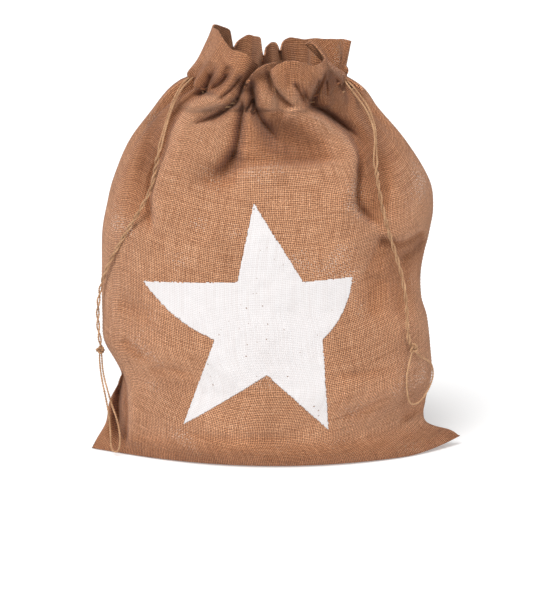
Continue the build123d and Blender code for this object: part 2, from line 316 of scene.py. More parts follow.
def along_line(x, z, line):
    """Distance to the curve through line, the side of it each point is on, and how far along it, 0 to 1."""
    line = smooth_through(line, arc_values(line), np.linspace(0, 1, 3 * len(line) + 1))
    values = arc_values(line)
    best = np.full(x.shape, 9.0)
    side = np.zeros(x.shape)
    share = np.zeros(x.shape)
    for a, b, from_value, to_value in zip(line, line[1:], values, values[1:]):
        run = b - a
        t = np.clip(((x - a[0]) * run[0] + (z - a[1]) * run[1]) / (run @ run), 0, 1)
        dx, dz = x - a[0] - t * run[0], z - a[1] - t * run[1]
        distance = np.hypot(dx, dz)
        nearer = distance < best
        best = np.where(nearer, distance, best)
        side = np.where(nearer, np.sign(run[0] * dz - run[1] * dx), side)
        share = np.where(nearer, from_value + t * (to_value - from_value), share)
    return best, side, share


def front_relief(x, z):
    """How far the front's cloth stands out from the plain swollen form."""
    relief = np.zeros(x.shape)
    for line, height, width, reach in STEPS:
        distance, side, share = along_line(x, z, line)
        ends = smooth_step(share / 0.18) * smooth_step((1 - share) / 0.18)
        far = np.where(side < 0, 1.8 * reach, reach)
        relief += height * ends * side * (1 - np.exp(-distance / width)) * np.exp(-(distance / far) ** 2)
        relief -= 0.8 * height * ends * (side < 0) * np.exp(-(distance / width - 0.7) ** 2)
    for line, height, width in CREASES:
        distance, side, share = along_line(x, z, line)
        ends = smooth_step(share / 0.2) * smooth_step((1 - share) / 0.35)
        slit = 0.42 if height < -0.008 else 0.0
        round_part = (1 - slit) * np.exp(-(distance / width) ** 2)
        relief += height * ends * (round_part + slit * np.exp(-(distance / (0.32 * width)) ** 1.5))
    for middle_x, middle_z, reach_x, reach_z, height in SWELLS:
        relief += height * np.exp(-((x - middle_x) / reach_x) ** 2 - ((z - middle_z) / reach_z) ** 2)
    return relief


def grid_normals(grid):
    """Outward unit normals of the ring grid."""
    around = np.roll(grid, -1, axis=1) - np.roll(grid, 1, axis=1)
    upward = np.gradient(grid, axis=0)
    normals = np.cross(around, upward)
    return normals / np.maximum(np.linalg.norm(normals, axis=2, keepdims=True), 1e-9)


def crumple(grid, flat_heights):
    """Adds the folds of the front, softer pleats round the back and sides, and small dents all over, and
    gives each point's painted shade.
    """
    normals = grid_normals(grid)
    x, z = grid[:, :, 0], grid[:, :, 2]
    column = np.arange(COLUMNS)
    long_z = flat_heights[:, None] + 0 * z
    above_floor = smooth_step((long_z - FOOT) / 0.03)
    facing = smooth_step((-normals[:, :, 1] - 0.05) / 0.3) * (column < HALF)
    facing = sum(np.roll(facing, k, axis=1) for k in range(-9, 10)) / 19
    facing[4:-4] = sum(facing[4 + k:len(facing) - 4 + k] for k in range(-4, 5)) / 9
    deepest = -0.060 + 0.049 * smooth_step((z - 0.585) / 0.025)
    forward = np.maximum(front_relief(x, z), deepest) * facing * above_floor
    forward *= smooth_step((0.640 - z) / 0.035)
    turn = 2 * math.pi * column / COLUMNS
    pleats = np.sin(17 * turn + 2.2 * np.sin(3 * turn + 1)) + 0.5 * np.sin(29 * turn + 0.7)
    front_share = np.zeros(COLUMNS)
    front_share[:HALF] = np.sin(math.pi * column[:HALF] / HALF) ** 0.35
    fade = np.where(z < 0.585, np.exp((z - 0.585) / 0.065), np.exp(-((z - 0.585) / 0.02) ** 2)) * above_floor
    out = 0.0085 * pleats[None, :] * fade * (1 - 0.9 * front_share)
    flat_x = (column % HALF) / HALF * FLAT_WIDTH
    long_x = np.where(column < HALF, flat_x, 1.3 + flat_x)[None, :] + 0 * z
    seam_fade = np.abs(np.sin(math.pi * column / HALF))[None, :] ** 0.5
    dents = 0.0030 * lattice_noise(long_x * 13, long_z * 9, 3)
    dents += 0.0016 * lattice_noise(long_x * 34, long_z * 24, 5)
    dents += 0.0006 * lattice_noise(long_x * 90, long_z * 75, 7)
    out += dents * seam_fade * above_floor
    moved = grid + normals * out[:, :, None]
    moved[:, :, 1] -= forward
    # the right bottom corner lifts and leans back, and the left one reaches out along the floor
    wing = np.clip((x - 0.19) / 0.10, 0, 1) ** 2 * np.exp(-(z / 0.06) ** 2)
    moved[:, :, 0] += 0.009 * wing
    moved[:, :, 1] += 0.022 * wing
    moved[:, :, 2] += 0.014 * wing
    tip = np.clip((-0.22 - x) / 0.07, 0, 1) ** 2 * np.exp(-(z / 0.05) ** 2)
    moved[:, :, 0] -= 0.006 * tip
    moved[:, :, 2] = np.maximum(moved[:, :, 2], FLOOR_GAP)
    # painted shade: the colour darkens where the front's creases sink in, across the frill and where the
    # cloth turns under near the floor
    crease_shade_mask = np.clip(-forward / 0.016, 0, 1)
    crease_shade_mask = sum(np.roll(crease_shade_mask, k, axis=1) for k in range(-1, 2)) / 3
    frill_shade_mask = smooth_step((z - 0.572) / 0.03)
    foot_shade_mask = smooth_step((0.060 - z) / 0.05)
    return moved, 1 - CREASE_SHADE * crease_shade_mask - FRILL_SHADE * frill_shade_mask - FOOT_SHADE * foot_shade_mask


# -------- meshes
def link(obj):
    bpy.context.scene.collection.objects.link(obj)
    return obj


def sheet_mesh(name, grid, flat_x, flat_z, shade, keep=None):
    """An open sheet of quads from a grid of points, with its flat cloth coordinates as UVs."""
    count, width = grid.shape[:2]
    index = np.arange(count * width).reshape(count, width)
    quads = np.stack([index[:-1, :-1], index[:-1, 1:], index[1:, 1:], index[1:, :-1]], axis=-1)
    quads = quads[keep] if keep is not None else quads.reshape(-1, 4)
    used, quads = np.unique(quads, return_inverse=True)
    quads = quads.reshape(-1, 4)
    mesh = bpy.data.meshes.new(name)
    mesh.from_pydata(grid.reshape(-1, 3)[used].tolist(), [], quads.tolist())
    uv = np.stack([flat_x, flat_z], axis=-1).reshape(-1, 2)[used]
    layer = mesh.uv_layers.new(name="flat")
    layer.data.foreach_set("uv", uv[quads.ravel()].astype(np.float32).ravel())
    # each point's painted shade goes into the "shade" attribute
    depth = mesh.attributes.new("shade", "FLOAT", "POINT")
    depth.data.foreach_set("value", shade.ravel()[used].astype(np.float32))
    mesh.polygons.foreach_set("use_smooth", [True] * len(mesh.polygons))
    return link(bpy.data.objects.new(name, mesh))


def thicken(obj, thickness, shares=None):
    """Gives a sheet its thickness inwards, with each point's share of it where the layers differ."""
    solid = obj.modifiers.new("thickness", "SOLIDIFY")
    solid.thickness = thickness
    solid.offset = -1
    if shares is not None:
        group = obj.vertex_groups.new(name="layers")
        for vertex, share in enumerate(shares):
            group.add([vertex], float(share), "REPLACE")
        solid.vertex_group = "layers"


def layer_shares(flat_heights):
    """One layer of cloth on the body and two in the hem."""
    return 0.5 + 0.5 * smooth_step((flat_heights - flat_heights[-1] + HEM) / 0.004)


def cloth_heights(grid):
    """How far up the cloth each point is, measured along its own column and evened out round the sack."""
    steps = np.linalg.norm(np.diff(grid, axis=0), axis=2)
    heights = np.vstack([np.zeros((1, COLUMNS)), np.cumsum(steps, axis=0)])
    return sum(np.roll(heights, k, axis=1) for k in range(-14, 15)) / 29


def panel_sheet(name, grid, shade, shares, start):
    """The half of the ring grid from one side seam to the other, as one panel of cloth."""
    columns = np.arange(start, start + HALF + 1) % COLUMNS
    part = grid[:, columns]
    across = np.linspace(0, FLAT_WIDTH, HALF + 1) + (1.3 if start else 0)
    flat_x = np.broadcast_to(across[None, :], part.shape[:2])
    obj = sheet_mesh(name, part, flat_x, cloth_heights(grid)[:, columns], shade[:, columns])
    thicken(obj, 2 * CLOTH, np.broadcast_to(shares[:, None], part.shape[:2]).ravel())
    return obj


# -------- the star
# The five tips and five inner corners in turn, in x and z, clockwise from the top tip. The third value
# is how far the edge that follows bows out of its straight line where the sack swells.
STAR_CORNERS = [
    (-0.035, 0.420, 0), (0.040, 0.300, 0), (0.115, 0.305, 0.010), (0.070, 0.210, 0), (0.080, 0.065, 0),
    (-0.015, 0.155, 0), (-0.145, 0.070, 0), (-0.095, 0.210, 0.010), (-0.205, 0.295, 0), (-0.060, 0.300, 0),
]


def star_outline():
    """The points of the star's edge, with each bowed edge as a parabola."""
    points = []
    for (x1, z1, bow), (x2, z2, _) in zip(STAR_CORNERS, STAR_CORNERS[1:] + STAR_CORNERS[:1]):
        length = math.hypot(x2 - x1, z2 - z1)
        for share in np.linspace(0, 1, 9)[:-1]:
            out = 4 * share * (1 - share) * bow / length
            x = x1 + share * (x2 - x1) - out * (z2 - z1)
            z = z1 + share * (z2 - z1) + out * (x2 - x1)
            points.append((x, z))
    return points


def inside_outline(x, y, corners):
    inside = np.zeros(x.shape, bool)
    for (x1, y1), (x2, y2) in zip(corners, corners[1:] + corners[:1]):
        crosses = (y1 > y) != (y2 > y)
        inside ^= crosses & (x < (x2 - x1) * (y - y1) / (y2 - y1 + 1e-12) + x1)
    return inside


def finer(grid):
    """The same sheet with a point added between each two."""
    def halve(a):
        middle = (a[:-1] + a[1:]) / 2
        out = np.empty((len(a) + len(middle),) + a.shape[1:])
        out[0::2], out[1::2] = a, middle
        return out
    return halve(halve(grid).swapaxes(0, 1)).swapaxes(0, 1)


def star_sheet(grid, shade):
    """The white print: a thin coat on the front panel, its edge stepping from thread to thread."""
    lift = 0.0006
    part = (grid + lift * grid_normals(grid))[:, :HALF + 1]
    flat_x = np.broadcast_to(np.linspace(0, FLAT_WIDTH, HALF + 1)[None, :], part.shape[:2])
    flat_z = cloth_heights(grid)[:, :HALF + 1]
    front_shade = shade[:, :HALF + 1, None]
    fine = finer(np.concatenate([part, flat_x[:, :, None], flat_z[:, :, None], front_shade], axis=2))
    middle = (fine[:-1, :-1] + fine[1:, 1:]) / 2
    wobble = 0.0007 * lattice_noise(middle[:, :, 3] * 400, middle[:, :, 4] * 400, 11)
    keep = inside_outline(middle[:, :, 0] + wobble, middle[:, :, 2] + wobble, star_outline())
    keep &= middle[:, :, 4] > 0.12
    obj = sheet_mesh("star", fine[:, :, :3], fine[:, :, 3], fine[:, :, 4], fine[:, :, 5], keep)
    thicken(obj, 0.0004)
    return obj


# -------- materials
def new_material(name):
    material = bpy.data.materials.new(name)
    material.use_nodes = True
    tree = material.node_tree
    return material, tree, tree.nodes["Principled BSDF"]


def math_node(tree, operation, a, b=None, clamp=False):
    node = tree.nodes.new("ShaderNodeMath")
    node.operation = operation
    node.use_clamp = clamp
    for socket, value in zip(node.inputs, (a, b)):
        if value is None:
            continue
        if isinstance(value, (int, float)):
            socket.default_value = value
        else:
            tree.links.new(value, socket)
    return node.outputs[0]


def noise_node(tree, vector, scale, detail=2.0, roughness=0.5):
    node = tree.nodes.new("ShaderNodeTexNoise")
    node.inputs["Scale"].default_value = scale
    node.inputs["Detail"].default_value = detail
    node.inputs["Roughness"].default_value = roughness
    tree.links.new(vector, node.inputs["Vector"])
    return node.outputs["Fac"]


def stretched(tree, vector, x, y):
    node = tree.nodes.new("ShaderNodeMapping")
    node.inputs["Scale"].default_value = (x, y, 1)
    tree.links.new(vector, node.inputs["Vector"])
    return node.outputs[0]


def ramp_node(tree, value, stops):
    node = tree.nodes.new("ShaderNodeValToRGB")
    ramp = node.color_ramp
    while len(ramp.elements) < len(stops):
        ramp.elements.new(0.5)
    for element, (place, colour) in zip(ramp.elements, stops):
        element.position = place
        element.color = (*colour, 1)
    tree.links.new(value, node.inputs[0])
    return node.outputs[0]


def mix_colours(tree, share, first, second, blend="MIX"):
    node = tree.nodes.new("ShaderNodeMix")
    node.data_type = "RGBA"
    node.blend_type = blend
    sockets = [s for s in node.inputs if s.enabled]
    for socket, value in zip(sockets, (share, first, second)):
        if isinstance(value, (int, float)):
            socket.default_value = value
        elif isinstance(value, tuple):
            socket.default_value = (*value, 1)
        else:
            tree.links.new(value, socket)
    return [s for s in node.outputs if s.enabled][0]


def weave_height(tree, flat, pitch):
    """Plain weave from the flat cloth coordinates: warp and weft threads pass over and under in turn."""
    wander = noise_node(tree, flat, 30, 2)
    split = tree.nodes.new("ShaderNodeSeparateXYZ")
    tree.links.new(flat, split.inputs[0])
    shift = math_node(tree, "MULTIPLY", math_node(tree, "SUBTRACT", wander, 0.5), 1.4)
    u = math_node(tree, "ADD", math_node(tree, "MULTIPLY", split.outputs[0], math.pi / pitch), shift)
    v = math_node(tree, "ADD", math_node(tree, "MULTIPLY", split.outputs[1], math.pi / pitch), shift)
    cos_u, cos_v = math_node(tree, "COSINE", u), math_node(tree, "COSINE", v)
    cross = math_node(tree, "MULTIPLY", math_node(tree, "MULTIPLY", cos_u, cos_v), 0.5)
    warp_over, weft_over = math_node(tree, "ADD", cross, 0.5), math_node(tree, "SUBTRACT", 0.5, cross)
    warp = math_node(tree, "MULTIPLY", math_node(tree, "ABSOLUTE", cos_u), warp_over)
    weft = math_node(tree, "MULTIPLY", math_node(tree, "ABSOLUTE", cos_v), weft_over)
    return math_node(tree, "MAXIMUM", warp, weft)


def flat_coordinates(tree):
    node = tree.nodes.new("ShaderNodeUVMap")
    node.uv_map = "flat"
    return node.outputs[0]


def bump_from(tree, shader, height, distance, strength=1.0):
    node = tree.nodes.new("ShaderNodeBump")
    node.inputs["Distance"].default_value = distance
    node.inputs["Strength"].default_value = strength
    tree.links.new(height, node.inputs["Height"])
    tree.links.new(node.outputs[0], shader.inputs["Normal"])


def hessian_material():
    """Natural jute: plain weave, thick and thin threads, dark slubs, painted specks of light showing through
    the weave, and painted shade in creases, across the frill and near the floor.
    """
    material, tree, shader = new_material("hessian")
    flat = flat_coordinates(tree)
    height = weave_height(tree, flat, THREAD_PITCH)
    warp_streaks = noise_node(tree, stretched(tree, flat, 320, 22), 1.0, 2)
    weft_streaks = noise_node(tree, stretched(tree, flat, 18, 320), 1.0, 2)
    streaks = math_node(tree, "MULTIPLY", warp_streaks, weft_streaks)
    thread = ramp_node(tree, streaks, [(0.08, (0.46, 0.200, 0.094)), (0.20, (0.64, 0.306, 0.158)),
                                       (0.34, (0.76, 0.390, 0.214)), (0.50, (0.88, 0.500, 0.300))])
    patches = noise_node(tree, flat, 9, 3)
    tint = ramp_node(tree, patches, [(0.35, (0.88, 0.86, 0.84)), (0.65, (1.03, 1.03, 1.03))])
    thread = mix_colours(tree, 1.0, thread, tint, "MULTIPLY")
    grain = ramp_node(tree, noise_node(tree, flat, 420, 1, 0.6),
                      [(0.30, (0.66, 0.62, 0.58)), (0.50, (1.0, 1.0, 1.0)), (0.70, (1.28, 1.30, 1.33))])
    thread = mix_colours(tree, 1.0, thread, grain, "MULTIPLY")
    gap = ramp_node(tree, height, [(0.20, (0.050, 0.030, 0.022)), (0.60, (1.08, 1.08, 1.08))])
    colour = mix_colours(tree, 1.0, thread, gap, "MULTIPLY")
    slubs = noise_node(tree, stretched(tree, flat, 170, 420), 1.0, 1)
    slub_mask = ramp_node(tree, slubs, [(0.765, (0, 0, 0)), (0.82, (0.5, 0.5, 0.5))])
    colour = mix_colours(tree, slub_mask, colour, (0.20, 0.09, 0.045))
    # painted light: pale specks where light shows through thin spots in the weave
    glints = noise_node(tree, flat, 460, 0)
    thin_spots = noise_node(tree, flat, 13, 1)
    glints = math_node(tree, "MULTIPLY", glints, thin_spots)
    glint_mask = ramp_node(tree, glints, [(0.42, (0, 0, 0)), (0.50, (0.7, 0.7, 0.7))])
    colour = mix_colours(tree, glint_mask, colour, (0.72, 0.60, 0.52))
    # painted shade: the "shade" attribute darkens the colour in creases, across the frill and near the floor
    shade = tree.nodes.new("ShaderNodeAttribute")
    shade.attribute_name = "shade"
    painted_shade_colour = ramp_node(tree, shade.outputs["Fac"], [(0.40, (0.45, 0.33, 0.23)), (0.84, (0.885, 0.79, 0.69)),
                                                (1.0, (1.0, 1.0, 1.0))])
    colour = mix_colours(tree, 1.0, colour, painted_shade_colour, "MULTIPLY")
    tree.links.new(colour, shader.inputs["Base Color"])
    shader.inputs["Roughness"].default_value = 0.92
    shader.inputs["Specular IOR Level"].default_value = 0.15
    shader.inputs["Sheen Weight"].default_value = 0.12
    shader.inputs["Sheen Roughness"].default_value = 0.6
    rough = math_node(tree, "ADD", height, math_node(tree, "MULTIPLY", streaks, 0.8))
    bump_from(tree, shader, rough, 0.0014)
    return material


def star_material():
    """White print that lets the weave show through as relief, with a few bare specks."""
    material, tree, shader = new_material("star_white")
    flat = flat_coordinates(tree)
    height = weave_height(tree, flat, THREAD_PITCH)
    shade = ramp_node(tree, height, [(0.05, (0.52, 0.48, 0.47)), (0.40, (0.725, 0.70, 0.70))])
    streaks = noise_node(tree, stretched(tree, flat, 300, 12), 1.0, 2)
    shade = mix_colours(tree, 1.0, shade,
                        ramp_node(tree, streaks, [(0.3, (0.95, 0.93, 0.92)), (0.6, (1, 1, 1))]), "MULTIPLY")
    specks = noise_node(tree, flat, 210, 0)
    mask = ramp_node(tree, specks, [(0.800, (0, 0, 0)), (0.830, (0.8, 0.8, 0.8))])
    colour = mix_colours(tree, mask, shade, (0.22, 0.12, 0.07))
    tree.links.new(colour, shader.inputs["Base Color"])
    shader.inputs["Roughness"].default_value = 0.8
    shader.inputs["Specular IOR Level"].default_value = 0.2
    bump_from(tree, shader, height, 0.0005)
    return material


def twine_material():
    """Twisted jute: pale fibres with darker lines between them."""
    material, tree, shader = new_material("twine")
    place = tree.nodes.new("ShaderNodeTexCoord").outputs["Object"]
    fibres = noise_node(tree, place, 900, 3, 0.6)
    patches = noise_node(tree, place, 60, 2)
    fine, broad = math_node(tree, "MULTIPLY", fibres, 0.7), math_node(tree, "MULTIPLY", patches, 0.3)
    mixed = math_node(tree, "ADD", fine, broad)
    colour = ramp_node(tree, mixed, [(0.34, (0.22, 0.100, 0.045)), (0.50, (0.50, 0.280, 0.145)),
                                     (0.66, (0.74, 0.470, 0.280))])
    tree.links.new(colour, shader.inputs["Base Color"])
    shader.inputs["Roughness"].default_value = 0.85
    shader.inputs["Specular IOR Level"].default_value = 0.2
    shader.inputs["Sheen Weight"].default_value = 0.15
    shader.inputs["Sheen Roughness"].default_value = 0.5
    bump_from(tree, shader, fibres, 0.0009)
    return material


def thread_material():
    """Brown sewing thread, with the fine twist of its ply."""
    material, tree, shader = new_material("thread")
    place = tree.nodes.new("ShaderNodeTexCoord").outputs["Object"]
    twist = noise_node(tree, place, 1400, 2)
    colour = ramp_node(tree, twist, [(0.35, (0.30, 0.155, 0.080)), (0.65, (0.46, 0.250, 0.140))])
    tree.links.new(colour, shader.inputs["Base Color"])
    shader.inputs["Roughness"].default_value = 0.75
    bump_from(tree, shader, twist, 0.0002)
    return material


# -------- drawcords
LEFT_REAR = [
    (-0.130, -0.004, 0.601), (-0.139, -0.007, 0.597), (-0.150, -0.017, 0.583), (-0.161, -0.040, 0.560),
    (-0.172, -0.060, 0.524), (-0.184, -0.071, 0.483), (-0.191, -0.078, 0.441), (-0.211, -0.077, 0.404),
    (-0.235, -0.067, 0.366), (-0.260, -0.050, 0.323), (-0.277, -0.031, 0.282), (-0.284, -0.023, 0.241),
    (-0.284, -0.022, 0.207), (-0.281, -0.022, 0.184), (-0.280, -0.022, 0.172),
]
LEFT_FRONT = [
    (-0.130, -0.009, 0.599), (-0.137, -0.014, 0.593), (-0.149, -0.028, 0.580), (-0.160, -0.051, 0.556),
    (-0.171, -0.068, 0.519), (-0.180, -0.075, 0.477), (-0.187, -0.082, 0.438), (-0.207, -0.081, 0.402),
    (-0.231, -0.071, 0.364), (-0.256, -0.055, 0.322), (-0.273, -0.036, 0.280), (-0.280, -0.028, 0.241),
    (-0.280, -0.027, 0.207), (-0.277, -0.027, 0.184), (-0.277, -0.026, 0.172),
]
LEFT_LOOP = [
    (-0.280, -0.023, 0.170),
    (-0.281, -0.023, 0.162), (-0.281, -0.022, 0.150), (-0.279, -0.020, 0.125), (-0.273, -0.024, 0.097),
    (-0.267, -0.030, 0.066), (-0.265, -0.033, 0.038), (-0.265, -0.035, 0.017), (-0.262, -0.037, 0.008),
    (-0.254, -0.039, 0.007), (-0.250, -0.040, 0.017), (-0.249, -0.040, 0.038), (-0.254, -0.037, 0.062),
    (-0.262, -0.031, 0.082), (-0.268, -0.027, 0.103), (-0.275, -0.023, 0.128), (-0.277, -0.025, 0.150),
    (-0.277, -0.025, 0.162), (-0.278, -0.025, 0.170),
]
RIGHT_REAR = [
    (0.103, -0.004, 0.599), (0.111, -0.008, 0.592), (0.125, -0.020, 0.577), (0.141, -0.036, 0.555),
    (0.151, -0.054, 0.524), (0.150, -0.072, 0.486), (0.154, -0.082, 0.450), (0.161, -0.088, 0.412),
    (0.172, -0.085, 0.371), (0.185, -0.078, 0.333), (0.197, -0.070, 0.293), (0.203, -0.069, 0.252),
    (0.204, -0.072, 0.222), (0.206, -0.072, 0.203), (0.209, -0.070, 0.191),
]
RIGHT_FRONT = [
    (0.103, -0.010, 0.597), (0.109, -0.015, 0.589), (0.121, -0.032, 0.574), (0.138, -0.048, 0.552),
    (0.150, -0.064, 0.518), (0.146, -0.076, 0.481), (0.150, -0.086, 0.448), (0.157, -0.092, 0.410),
    (0.168, -0.089, 0.370), (0.181, -0.082, 0.332), (0.193, -0.074, 0.292), (0.199, -0.073, 0.252),
    (0.200, -0.076, 0.222), (0.202, -0.076, 0.203), (0.205, -0.074, 0.191),
]
RIGHT_LOOP = [
    (0.211, -0.072, 0.184),
    (0.209, -0.072, 0.175), (0.206, -0.073, 0.162), (0.202, -0.075, 0.142), (0.203, -0.075, 0.121),
    (0.206, -0.069, 0.103), (0.212, -0.061, 0.092), (0.222, -0.053, 0.091), (0.233, -0.044, 0.099),
    (0.243, -0.033, 0.113), (0.249, -0.028, 0.130), (0.247, -0.031, 0.147), (0.240, -0.041, 0.158),
    (0.229, -0.056, 0.166), (0.219, -0.066, 0.175), (0.215, -0.070, 0.184),
]


def spline_points(route, resolution=24):
    """Points read from the smooth NURBS line of a route."""
    curve = bpy.data.curves.new("route", "CURVE")
    curve.dimensions = "3D"
    curve.resolution_u = resolution
    spline = curve.splines.new("NURBS")
    spline.points.add(len(route) - 1)
    for point, place in zip(spline.points, route):
        point.co = (*place, 1)
    spline.order_u = 3
    spline.use_endpoint_u = True
    holder = bpy.data.objects.new("route", curve)
    mesh = bpy.data.meshes.new_from_object(holder)
    points = np.array([v.co for v in mesh.vertices])
    bpy.data.objects.remove(holder)
    bpy.data.curves.remove(curve)
    bpy.data.meshes.remove(mesh)
    return points


def evenly(points, spacing):
    """The same line with its points spaced evenly."""
    wanted = np.linspace(0, 1, max(int(line_length(points) / spacing), 4))
    return read_at(points, arc_values(points), wanted)


def line_frames(points):
    """Two directions across the line at each point, carried along it without twisting."""
    along = np.gradient(points, axis=0)
    along /= np.linalg.norm(along, axis=1, keepdims=True)
    side = np.zeros_like(points)
    start = np.cross(along[0], (0.3, 0.9, 0.2))
    side[0] = start / np.linalg.norm(start)
    for k in range(1, len(points)):
        flat = side[k - 1] - along[k] * (side[k - 1] @ along[k])
        side[k] = flat / np.linalg.norm(flat)
    return side, np.cross(along, side)


def outward(side, across, angle):
    return math.cos(angle) * side + math.sin(angle) * across


def piece_from(name, verts, faces, smooth=True):
    mesh = bpy.data.meshes.new(name)
    mesh.from_pydata([tuple(v) for v in verts], [], faces)
    if smooth:
        mesh.polygons.foreach_set("use_smooth", [True] * len(mesh.polygons))
    return link(bpy.data.objects.new(name, mesh))


def tube_faces(count, sides, start, closed=False):
    """Quads round a tube whose points are stored ring by ring, with end caps where it is open."""
    faces = []
    for k in range(count if closed else count - 1):
        for s in range(sides):
            a, b = start + k * sides, start + (k + 1) % count * sides
            faces.append((a + s, a + (s + 1) % sides, b + (s + 1) % sides, b + s))
    if not closed:
        faces.append(tuple(start + s for s in range(sides))[::-1])
        faces.append(tuple(start + (count - 1) * sides + s for s in range(sides)))
    return faces


def twisted_twine(name, points, thickness, seed, closed=False):
    """Two plies of jute laid round each other along the points."""
    generator = np.random.default_rng(seed)
    lay_length, sides = 0.0085, 9
    side, across = line_frames(points)
    steps = distances(points)
    lump_places = np.arange(0, steps[-1] + 0.02, 0.006)
    lumps = 1 + 0.10 * np.interp(steps, lump_places, generator.uniform(-1, 1, len(lump_places)))
    verts, faces = [], []
    for ply in (0, 1):
        turn = 2 * math.pi * steps / lay_length + ply * math.pi
        offset = 0.22 * thickness * lumps
        centre = points + (np.cos(turn) * offset)[:, None] * side + (np.sin(turn) * offset)[:, None] * across
        for k in range(len(points)):
            for s in range(sides):
                angle = 2 * math.pi * s / sides + turn[k] * 0.4
                radius = 0.31 * thickness * lumps[k] * (1 + 0.08 * math.cos(3 * angle + 9 * k))
                verts.append(centre[k] + radius * outward(side[k], across[k], angle))
        faces += tube_faces(len(points), sides, ply * len(points) * sides, closed)
    return piece_from(name, verts, faces)


def fibres(name, points, seed, spacing, reach):
    """Loose jute fibres that stand off a cord."""
    generator = np.random.default_rng(seed)
    side, across = line_frames(points)
    verts, faces = [], []
    bare = 18                     # points at each end that carry no fibres
    for _ in range(int(line_length(points) / spacing)):
        k = int(generator.integers(bare, len(points) - bare))
        angle, length = generator.uniform(0, 2 * math.pi), generator.uniform(0.3, 1.0) * reach
        out = outward(side[k], across[k], angle)
        along = np.cross(side[k], across[k]) * generator.choice([-1, 1])
        bend = generator.uniform(-0.6, 0.6, 3)
        line = []
        for t in (0.0, 0.35, 0.7, 1.0):
            lift = out * (0.0013 + length * 0.5 * t)
            line.append(points[k] + lift + along * length * t + bend * length * t * t * 0.5)
        base = len(verts)
        for number, place in enumerate(line):
            radius = 0.00011 * (1 - 0.6 * number / 3)
            for s in range(3):
                verts.append(place + radius * outward(side[k], across[k], 2 * math.pi * s / 3))
        faces += tube_faces(len(line), 3, base)
    return piece_from(name, verts, faces, smooth=False)


def knot_piece(name, centre, size, tilt, seed):
    """An overhand knot pulled tight in the doubled twine."""
    strand, apart = 0.0034, 0.0032
    parts = []
    for copy in (0, 1):
        t = np.linspace(0, 2 * math.pi, 121)[:-1]
        knot = np.column_stack([
            np.sin(t) + 2 * np.sin(2 * t),
            np.cos(t) - 2 * np.cos(2 * t),
            -1.25 * np.sin(3 * t),
        ])
        knot = knot / 3 * (np.array(size) / 2 - 0.0016)
        spin = tilt + copy * 0.5
        knot = knot[:, [0, 2, 1]]
        turned = np.column_stack([
            knot[:, 0] * math.cos(spin) - knot[:, 2] * math.sin(spin),
            knot[:, 1] + (copy - 0.5) * apart,
            knot[:, 0] * math.sin(spin) + knot[:, 2] * math.cos(spin),
        ])
        placed = turned + np.array(centre)
        parts.append(twisted_twine(f"{name}_{copy}", placed, strand, seed + copy, closed=True))
    first, second = parts
    bpy.ops.object.select_all(action="DESELECT")
    first.select_set(True)
    second.select_set(True)
    bpy.context.view_layer.objects.active = first
    bpy.ops.object.join()
    first.name = name
    return first


def node_middle(node):
    low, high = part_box(node)
    return (low + high) / 2


def twined(rear, front, meet, turn_length):
    """Two strands' points, laid loosely round each other from the share of their length where they meet."""
    count = min(len(rear), len(front))
    values = np.linspace(0, 1, count)
    rear = read_at(rear, np.linspace(0, 1, len(rear)), values)
    front = read_at(front, np.linspace(0, 1, len(front)), values)
    middle, half = (rear + front) / 2, (front - rear) / 2
    side, across = line_frames(middle)
    distance = distances(middle)
    grown = smooth_step((values - meet) / 0.12)
    turn = 2 * math.pi * np.maximum(distance - meet * distance[-1], 0) / turn_length
    first = np.arctan2((half * across).sum(axis=1), (half * side).sum(axis=1))
    reach = np.linalg.norm(half, axis=1) * (1 - grown) + 0.0019 * grown
    angle = first[0] + (first - first[0]) * (1 - grown) + turn * grown
    ends = smooth_step((1 - values) / 0.02)
    swing = np.cos(angle)[:, None] * side + np.sin(angle)[:, None] * across
    swing = swing * (reach * (0.4 + 0.6 * ends))[:, None]
    return middle - swing, middle + swing


def drawcord(side, routes, loop, materials, meet, knot_size, tilt, seed):
    """The two strands, knot and loop on one side, with their loose fibres."""
    pull, loop_body = f"{side}_pull", f"{side}_loop"
    knot = knot_piece(f"{side}_knot_piece", node_middle(f"{side}_knot"), knot_size, tilt, seed)
    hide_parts(f"{side}_knot")
    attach(knot, pull)
    made = [knot]
    lines = [evenly(spline_points(route), 0.0009) for route in routes]
    for number, (word, points) in enumerate(zip(("rear", "front"), twined(*lines, meet, 0.042))):
        strand = twisted_twine(f"{side}_{word}_twine", points, TWINE, seed + 10 + number)
        fuzz = fibres(f"{side}_{word}_fibres", points, seed + 20 + number, 0.0030, 0.006)
        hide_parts(f"{side}_strand_{word}")
        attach(strand, pull)
        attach(fuzz, pull)
        made += [strand, fuzz]
    points = evenly(spline_points(loop), 0.0009)
    bight = twisted_twine(f"{side}_loop_twine", points, TWINE, seed + 30)
    fuzz = fibres(f"{side}_loop_fibres", points, seed + 31, 0.0030, 0.006)
    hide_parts(f"{side}_loop")
    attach(bight, loop_body)
    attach(fuzz, loop_body)
    made += [bight, fuzz]
    for obj in made:
        obj.data.materials.clear()
        obj.data.materials.append(materials["twine"])


# -------- stitching and the cord in the channel
def stitch_piece(name, runs):
    """Stitches lying on the cloth along one or more runs of points."""
    radius, stitch, gap = 0.00036, 0.0038, 0.0016
    verts, faces = [], []
    for run in runs:
        points = evenly(run, 0.0009)
        side, across = line_frames(points)
        steps = distances(points)
        start = 0.002
        while start + stitch < steps[-1]:
            inside = np.nonzero((steps >= start) & (steps <= start + stitch))[0]
            base = len(verts)
            for number, k in enumerate(inside):
                at_end = min(number, len(inside) - 1 - number) == 0
                swell = radius * (0.55 if at_end else 1.0)
                for s in range(6):
                    verts.append(points[k] + swell * outward(side[k], across[k], 2 * math.pi * s / 6))
            if len(inside) > 1:
                faces += tube_faces(len(inside), 6, base)
            start += stitch + gap
    return piece_from(name, verts, faces)


def row_at(flat_heights, height):
    return int(np.argmin(np.abs(flat_heights - height)))


